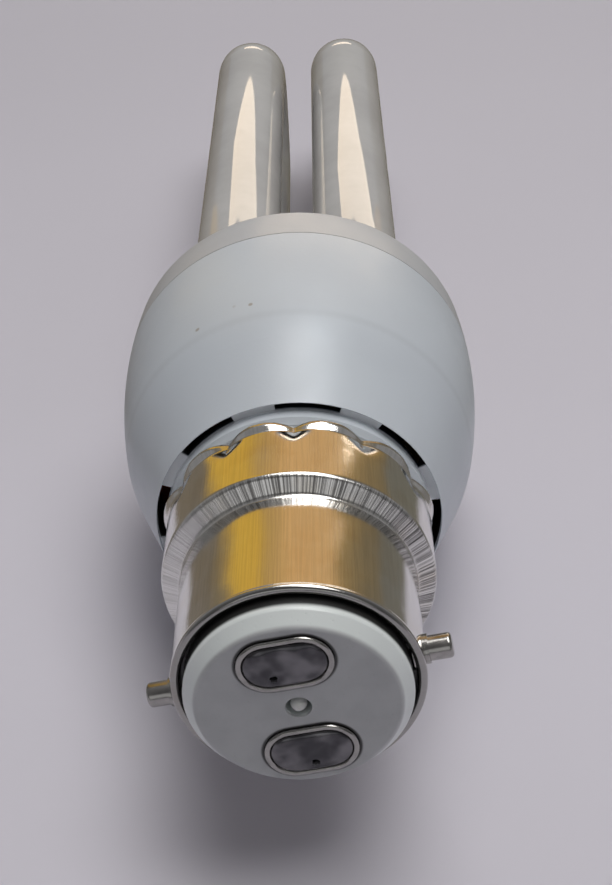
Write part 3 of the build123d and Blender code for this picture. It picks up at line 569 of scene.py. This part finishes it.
class LampLooks(bpy.types.PropertyGroup):
    """Colours of the visible finishes and levels of the light."""

    metal: bpy.props.FloatVectorProperty(
        name="Plating", description="Colour of the bright plating", subtype="COLOR",
        default=(0.83, 0.82, 0.80))
    # Tarnish, warmed so that it also stands for the gold the cap mirrors: partly a painted
    # reflection.
    tarnish_and_painted_reflection: bpy.props.FloatVectorProperty(
        name="Tarnish", description="Colour of the plating where it has tarnished",
        subtype="COLOR", default=(0.76, 0.70, 0.60))
    # Colour of the drawing lines, also painted on the shoulder and the rim bead as painted shade.
    line_and_painted_shade: bpy.props.FloatVectorProperty(
        name="Draw Lines", description="Colour of the lines left by drawing", subtype="COLOR",
        default=(0.16, 0.155, 0.15))
    metal_grey: bpy.props.FloatVectorProperty(
        name="Worn Plating", description="Colour of dull plating", subtype="COLOR",
        default=(0.62, 0.60, 0.57))
    pin_dark: bpy.props.FloatVectorProperty(
        name="Pins", description="Darker tone of the pins", subtype="COLOR",
        default=(0.24, 0.235, 0.23))
    insulator: bpy.props.FloatVectorProperty(
        name="Insulator", description="Colour of the cap's insulator", subtype="COLOR",
        default=(0.49, 0.505, 0.515))
    insulator_dull: bpy.props.FloatVectorProperty(
        name="Insulator Clouds", description="Second tone of the insulator", subtype="COLOR",
        default=(0.44, 0.455, 0.465))
    # Painted light: the bevel, which faces the light, painted paler than the face.
    bevel: bpy.props.FloatVectorProperty(
        name="Insulator Bevel", description="Paler colour of the insulator's bevel",
        subtype="COLOR", default=(0.74, 0.785, 0.78))
    # Painted shade: the black painted in the gap behind the plug, round the contact cups and
    # inside the housing's slots.
    recess_painted_shade: bpy.props.FloatVectorProperty(
        name="Recess", description="Colour in the gaps round the insulator and the contacts",
        subtype="COLOR", default=(0.02, 0.02, 0.02))
    insulator_pore: bpy.props.FloatVectorProperty(
        name="Insulator Pores", description="Colour in the pores", subtype="COLOR",
        default=(0.24, 0.26, 0.24))
    # Painted dark as a painted reflection of the shaded floor that the solder mirrors.
    solder: bpy.props.FloatVectorProperty(
        name="Solder", description="Colour of the solder's tops", subtype="COLOR",
        default=(0.19, 0.185, 0.195))
    solder_hollows_painted_dark: bpy.props.FloatVectorProperty(
        name="Solder Hollows", description="Colour of the solder's hollows", subtype="COLOR",
        default=(0.065, 0.064, 0.07))
    resin: bpy.props.FloatVectorProperty(
        name="Resin", description="Colour of the clear drop", subtype="COLOR",
        default=(0.86, 0.88, 0.84))
    plastic: bpy.props.FloatVectorProperty(
        name="Housing", description="Colour of the housing", subtype="COLOR",
        default=(0.565, 0.61, 0.66))
    plastic_shade: bpy.props.FloatVectorProperty(
        name="Housing Clouds", description="Second tone of the housing", subtype="COLOR",
        default=(0.54, 0.58, 0.63))
    # Painted light: pale colour painted on the tabs, which the groove shades.
    tab_painted_light: bpy.props.FloatVectorProperty(
        name="Tabs", description="Colour of the tabs between the ventilation slots",
        subtype="COLOR", default=(0.92, 0.95, 0.98))
    holder: bpy.props.FloatVectorProperty(
        name="Tube Holder", description="Colour of the tube holder", subtype="COLOR",
        default=(0.50, 0.51, 0.53))
    holder_shade: bpy.props.FloatVectorProperty(
        name="Tube Holder Clouds", description="Second tone of the holder", subtype="COLOR",
        default=(0.475, 0.485, 0.505))
    dust: bpy.props.FloatVectorProperty(
        name="Specks", description="Colour of dust specks", subtype="COLOR",
        default=(0.35, 0.33, 0.31))
    coat: bpy.props.FloatVectorProperty(
        name="Powder Coat", description="Colour of the coat inside the glass", subtype="COLOR",
        default=(0.51, 0.50, 0.49))
    coat_thin: bpy.props.FloatVectorProperty(
        name="Thin Coat", description="Colour where the coat is thin", subtype="COLOR",
        default=(0.45, 0.44, 0.43))
    floor: bpy.props.FloatVectorProperty(
        name="Floor", description="Colour of the floor", subtype="COLOR",
        default=(0.635, 0.615, 0.68))
    key_power: bpy.props.FloatProperty(
        name="Key Light", description="Power of the overhead light", default=4.6, unit="POWER")
    world_level: bpy.props.FloatProperty(
        name="Room Light", description="Strength of the light all round", default=0.27)


class LAMP_OT_cap(bpy.types.Operator):
    """Finishes the cap shell, the pins and the insulator"""

    bl_idname = "lamp.cap"
    bl_label = "Cap"

    def execute(self, context):
        looks = context.scene.lamp_looks
        metal = plated_metal(looks)
        dress("cap_shell", metal)
        shell = shown("cap_shell_skin", [cap_shell_mesh(context.scene.lamp_sizes)], metal)
        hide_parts("cap_shell")
        dress("bayonet_pins", pin_metal(looks))
        dress("base_insulator", insulator_finish(looks))
        return {"FINISHED"}


class LAMP_OT_contacts(bpy.types.Operator):
    """Finishes the contact cups, their solder and the clear drop"""

    bl_idname = "lamp.contacts"
    bl_label = "Contacts"

    def execute(self, context):
        looks = context.scene.lamp_looks
        dress("contact_plates", contact_finish(looks))
        solder = solder_finish(looks)
        dress("contact_solder", solder)
        sizes = context.scene.lamp_sizes
        pools = [solder_mesh(sizes, f"pool_{k}", place, k) for k, place in enumerate(CONTACTS)]
        pool = shown("solder_pools", pools, solder)
        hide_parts("contact_solder")
        dress("sealing_bead", clear_resin(looks))
        return {"FINISHED"}


class LAMP_OT_housing(bpy.types.Operator):
    """Finishes the housing and the tube holder"""

    bl_idname = "lamp.housing"
    bl_label = "Housing"

    def execute(self, context):
        looks = context.scene.lamp_looks
        dress("lower_housing",
              moulded_plastic("housing_plastic", looks, looks.plastic, looks.plastic_shade))
        dress("tube_holder",
              moulded_plastic("holder_plastic", looks, looks.holder, looks.holder_shade))
        return {"FINISHED"}


class LAMP_OT_tubes(bpy.types.Operator):
    """Finishes the discharge tube and its cement"""

    bl_idname = "lamp.tubes"
    bl_label = "Tubes"

    def execute(self, context):
        looks = context.scene.lamp_looks
        dress("discharge_tube", coated_glass(looks))
        cement = plain_finish("cement", (0.72, 0.70, 0.66), (0.62, 0.60, 0.56),
                              0.0, 0.7, 1.2, 0.1)
        dress("tube_cement", cement)
        return {"FINISHED"}


class LAMP_OT_ballast(bpy.types.Operator):
    """Finishes the circuit board and the parts on it"""

    bl_idname = "lamp.ballast"
    bl_label = "Ballast"

    def execute(self, context):
        # First tone, second tone, metallic, roughness, scale and depth.
        finishes = {
            "circuit_board": ((0.42, 0.30, 0.14), (0.36, 0.25, 0.11), 0.0, 0.5, 0.8, 0.03),
            "solder_joints": ((0.62, 0.62, 0.60), (0.50, 0.50, 0.49), 1.0, 0.2, 2.0, 0.03),
            "choke_core": ((0.055, 0.055, 0.06), (0.09, 0.09, 0.09), 0.0, 0.5, 1.5, 0.04),
            "choke_bobbin": ((0.05, 0.05, 0.05), (0.07, 0.07, 0.07), 0.0, 0.4, 2.0, 0.02),
            "choke_winding": ((0.62, 0.26, 0.10), (0.48, 0.18, 0.07), 1.0, 0.25, 4.0, 0.08),
            "reservoir_capacitor": ((0.03, 0.03, 0.035), (0.05, 0.05, 0.06), 0.0, 0.3, 0.6, 0.02),
            "transformer_ring": ((0.06, 0.06, 0.065), (0.1, 0.1, 0.1), 0.0, 0.5, 1.5, 0.04),
            "transformer_coils": ((0.60, 0.24, 0.09), (0.45, 0.16, 0.06), 1.0, 0.25, 3.0, 0.04),
            "film_capacitors": ((0.50, 0.09, 0.04), (0.40, 0.06, 0.03), 0.0, 0.25, 0.8, 0.02),
            "transistors": ((0.03, 0.03, 0.03), (0.05, 0.05, 0.05), 0.0, 0.45, 2.0, 0.02),
            "rectifier_diodes": ((0.03, 0.03, 0.03), (0.05, 0.05, 0.05), 0.0, 0.4, 2.0, 0.02),
            "resistors": ((0.55, 0.42, 0.26), (0.48, 0.35, 0.20), 0.0, 0.4, 1.0, 0.02),
            "trigger_diode": ((0.10, 0.16, 0.32), (0.08, 0.12, 0.26), 0.0, 0.2, 1.0, 0.01),
            "wire_posts": ((0.62, 0.60, 0.57), (0.50, 0.49, 0.46), 1.0, 0.2, 2.0, 0.02),
            "filament_wires": ((0.62, 0.60, 0.57), (0.50, 0.49, 0.46), 1.0, 0.2, 2.0, 0.02),
            "fuse_resistor": ((0.26, 0.38, 0.30), (0.20, 0.30, 0.24), 0.0, 0.5, 1.0, 0.02),
            "supply_wires": ((0.55, 0.10, 0.06), (0.45, 0.08, 0.05), 0.0, 0.4, 1.0, 0.02),
        }
        for node, values in finishes.items():
            dress(node, plain_finish(node + "_finish", *values))
        return {"FINISHED"}


def area_light(scene, name, place, aim, size, power, colour):
    """A rectangular lamp at a place, turned towards its aim."""
    lamp = bpy.data.lights.new(name, "AREA")
    lamp.shape = "RECTANGLE"
    lamp.size, lamp.size_y = size
    lamp.energy = power
    lamp.color = colour
    light = bpy.data.objects.new(name, lamp)
    scene.collection.objects.link(light)
    light.location = place
    light.rotation_euler = (Vector(aim) - Vector(place)).to_track_quat("-Z", "Y").to_euler()


def card(scene, name, colours, level, radii, azimuths, low, high, place=(0.0, 0.0, 0.0)):
    """Curved card round the stage that only reflections see. It is ruled between two arcs: the
    elevations of its lower and upper edge over azimuth, in degrees, at the two radii in metres.
    Its colours run along the azimuth."""
    turn = np.linspace(azimuths[0], azimuths[-1], 61)
    edges = [np.tan(np.radians(np.interp(turn, azimuths, edge))) for edge in (low, high)]
    share = np.linspace(0.0, 1.0, 9)
    reach = radii[0] + (radii[1] - radii[0]) * share[None, :]
    rise = radii[0] * edges[0][:, None] * (1 - share) + radii[1] * edges[1][:, None] * share
    turn = np.radians(turn)[:, None]
    lift = 0.0006
    grid = np.stack((reach * np.sin(turn), reach * np.cos(turn), rise + lift), axis=-1)
    index = np.arange(grid[..., 0].size).reshape(grid.shape[:2])
    corners = (index[:-1, :-1], index[:-1, 1:], index[1:, 1:], index[1:, :-1])
    mesh = bpy.data.meshes.new(name)
    mesh.from_pydata(grid.reshape(-1, 3), [], np.stack(corners, axis=-1).reshape(-1, 4))
    made = Finish(name + "_glow", Base_Color=(0.0, 0.0, 0.0), Roughness=1.0,
                  Specular_IOR_Level=0.0, Emission_Strength=level)
    x, y, _ = made.parts(made.node("ShaderNodeTexCoord").outputs["Object"])
    side = x.math("ARCTAN2", y) * (180 / math.pi)
    share = (side - azimuths[0]) / (azimuths[-1] - azimuths[0])
    ramp = made.node("ShaderNodeValToRGB", {"stops": colours}, {"Fac": share})
    mesh.materials.append(made.end(Emission_Color=ramp.outputs["Color"]))
    sheet = bpy.data.objects.new(name, mesh)
    scene.collection.objects.link(sheet)
    sheet.location = place
    sheet.visible_camera = False
    sheet.visible_diffuse = False
    sheet.visible_shadow = False
    sheet.visible_transmission = False
    return sheet


def paper_floor(scene, looks):
    """Plain sheet of paper, painted a little darker far away as painted shade."""
    side = 3.0
    corners = [(-side, -side, 0.0), (side, -side, 0.0), (side, side, 0.0), (-side, side, 0.0)]
    mesh = bpy.data.meshes.new("floor")
    mesh.from_pydata(corners, [], [(0, 1, 2, 3)])
    floor = bpy.data.objects.new("floor", mesh)
    scene.collection.objects.link(floor)
    made = Finish("floor_paper", Roughness=0.75, Specular_IOR_Level=0.2)
    point = made.lamp_point()
    mottle = made.noise(point, 0.02, 3.0, 0.5)
    _, _, along = made.parts(point)
    # Painted shade: darker with distance along the lamp's axis, standing for the light's falloff.
    far = made.ease(along, 0.0, 230.0)
    darker = tuple(0.86 * part for part in looks.floor)
    mesh.materials.append(made.end(Base_Color=made.blend(far + mottle * 0.2, looks.floor, darker)))


def room(scene, level):
    """World light: neutral, dim from behind the camera and at its full level ahead."""
    world = bpy.data.worlds.new("room")
    scene.world = world
    world.use_nodes = True
    nodes, links = world.node_tree.nodes, world.node_tree.links
    back = nodes["Background"]
    way = nodes.new("ShaderNodeTexCoord")
    split = nodes.new("ShaderNodeSeparateXYZ")
    fall = nodes.new("ShaderNodeMapRange")
    links.new(way.outputs["Generated"], split.inputs[0])
    links.new(split.outputs["Y"], fall.inputs["Value"])
    span = {"From Min": -1.0, "From Max": 0.6, "To Min": 0.07, "To Max": level}
    for key, value in span.items():
        fall.inputs[key].default_value = value
    links.new(fall.outputs["Result"], back.inputs["Strength"])
    back.inputs["Color"].default_value = (1.0, 0.99, 1.0, 1.0)


def photo_camera(scene):
    """Camera at the photograph's viewing angle."""
    lens = bpy.data.cameras.new("camera")
    lens.lens = 60.626
    lens.sensor_width = 36.0
    camera = bpy.data.objects.new("camera", lens)
    scene.collection.objects.link(camera)
    right = Vector((0.99880, -0.00596, -0.04863))
    forward = Vector((-0.02642, 0.77041, -0.63701))
    axes = Matrix((right, right.cross(forward), -forward)).transposed().to_4x4()
    camera.matrix_world = Matrix.Translation((0.00484, -0.14946, 0.12027)) @ axes
    scene.camera = camera


# Colours that the cap and the tubes mirror, along each card from its first azimuth to its last.
WARM_WALL = (
    (0.0, (0.14, 0.13, 0.12)),
    (0.17, (0.20, 0.16, 0.10)),
    (0.20, (0.62, 0.38, 0.06)),
    (0.29, (0.60, 0.36, 0.06)),
    (0.32, (0.46, 0.29, 0.09)),
    (0.40, (0.54, 0.33, 0.12)),
    (0.46, (0.64, 0.38, 0.15)),
    (0.70, (0.60, 0.37, 0.16)),
    (0.75, (0.30, 0.20, 0.08)),
    (0.82, (0.18, 0.14, 0.08)),
    (1.0, (0.14, 0.13, 0.12)),
)
DIM_FLOOR = (
    (0.0, (0.20, 0.19, 0.19)),
    (0.3, (0.17, 0.14, 0.10)),
    (0.7, (0.15, 0.14, 0.11)),
    (1.0, (0.20, 0.19, 0.19)),
)
CREAM_WINDOW = ((0.0, (1.0, 0.80, 0.58)), (1.0, (1.0, 0.84, 0.66)))
COOL_SKY = ((0.0, (0.80, 0.92, 1.0)), (1.0, (0.80, 0.92, 1.0)))
GREY_WALL = ((0.0, (0.56, 0.56, 0.57)), (1.0, (0.60, 0.60, 0.60)))


class LAMP_OT_stage(bpy.types.Operator):
    """Makes the floor, the lights and the camera"""

    bl_idname = "lamp.stage"
    bl_label = "Stage"

    def execute(self, context):
        scene = context.scene
        looks = scene.lamp_looks
        paper_floor(scene, looks)
        area_light(scene, "key", (0.13, 0.06, 0.80), (0.0, -0.02, 0.0), (0.7, 0.4),
                   looks.key_power, (1.0, 0.985, 0.965))
        card(scene, "warm_card", WARM_WALL, 1.0, (1.6, 1.6), (-60, -26, -19, 19, 26, 60),
             (0, 0, 24, 24, 0, 0), (52, 52, 52, 52, 52, 52))
        card(scene, "shade_card", DIM_FLOOR, 1.0, (0.07, 1.6), (-80, 80), (0, 0), (0, 0),
             (0.0, -0.06, 0.0))
        card(scene, "window_card", CREAM_WINDOW, 3.5, (0.25, 0.25), (-15, -8, 0, 15, 26, 30, 34),
             (15.2, 15.3, 14.7, 14.6, 11.1, 7.6, 2.2), (24, 24, 24, 24, 24, 24, 24),
             (0.0, 0.03, 0.028))
        card(scene, "tip_card", CREAM_WINDOW, 3.0, (0.25, 0.25), (-9, 10), (4, 4), (9, 9),
             (0.0, 0.03, 0.028))
        card(scene, "sky_card", COOL_SKY, 5.0, (0.45, 0.36), (12, 44), (58, 58), (68, 68))
        behind = card(scene, "room_card", GREY_WALL, 1.0, (1.4, 1.4), (-35, 35), (6, 6), (34, 34))
        behind.rotation_euler = (0.0, 0.0, math.pi)
        room(scene, looks.world_level)
        photo_camera(scene)
        scene.view_settings.view_transform = "Standard"
        return {"FINISHED"}


class LAMP_PT_pieces(bpy.types.Panel):
    """Lists the lamp's operators and looks"""

    bl_idname = "LAMP_PT_pieces"
    bl_label = "Stick Bulb"
    bl_space_type = "VIEW_3D"
    bl_region_type = "UI"
    bl_category = "Lamp"

    def draw(self, context):
        for operator in OPERATORS:
            self.layout.operator(operator.bl_idname)
        for group in (context.scene.lamp_sizes, context.scene.lamp_looks):
            for name in type(group).__annotations__:
                self.layout.prop(group, name)


OPERATORS = (
    LAMP_OT_cap,
    LAMP_OT_contacts,
    LAMP_OT_housing,
    LAMP_OT_tubes,
    LAMP_OT_ballast,
    LAMP_OT_stage,
)
CLASSES = (LampSizes, LampLooks, *OPERATORS, LAMP_PT_pieces)


def register():
    for kind in CLASSES:
        bpy.utils.register_class(kind)
    bpy.types.Scene.lamp_sizes = bpy.props.PointerProperty(type=LampSizes)
    bpy.types.Scene.lamp_looks = bpy.props.PointerProperty(type=LampLooks)


def unregister():
    del bpy.types.Scene.lamp_looks
    del bpy.types.Scene.lamp_sizes
    for kind in reversed(CLASSES):
        bpy.utils.unregister_class(kind)


def main():
    """Builds every piece in order."""
    register()
    for operator in OPERATORS:
        group, name = operator.bl_idname.split(".")
        getattr(getattr(bpy.ops, group), name)()


if __name__ == "__main__":
    main()
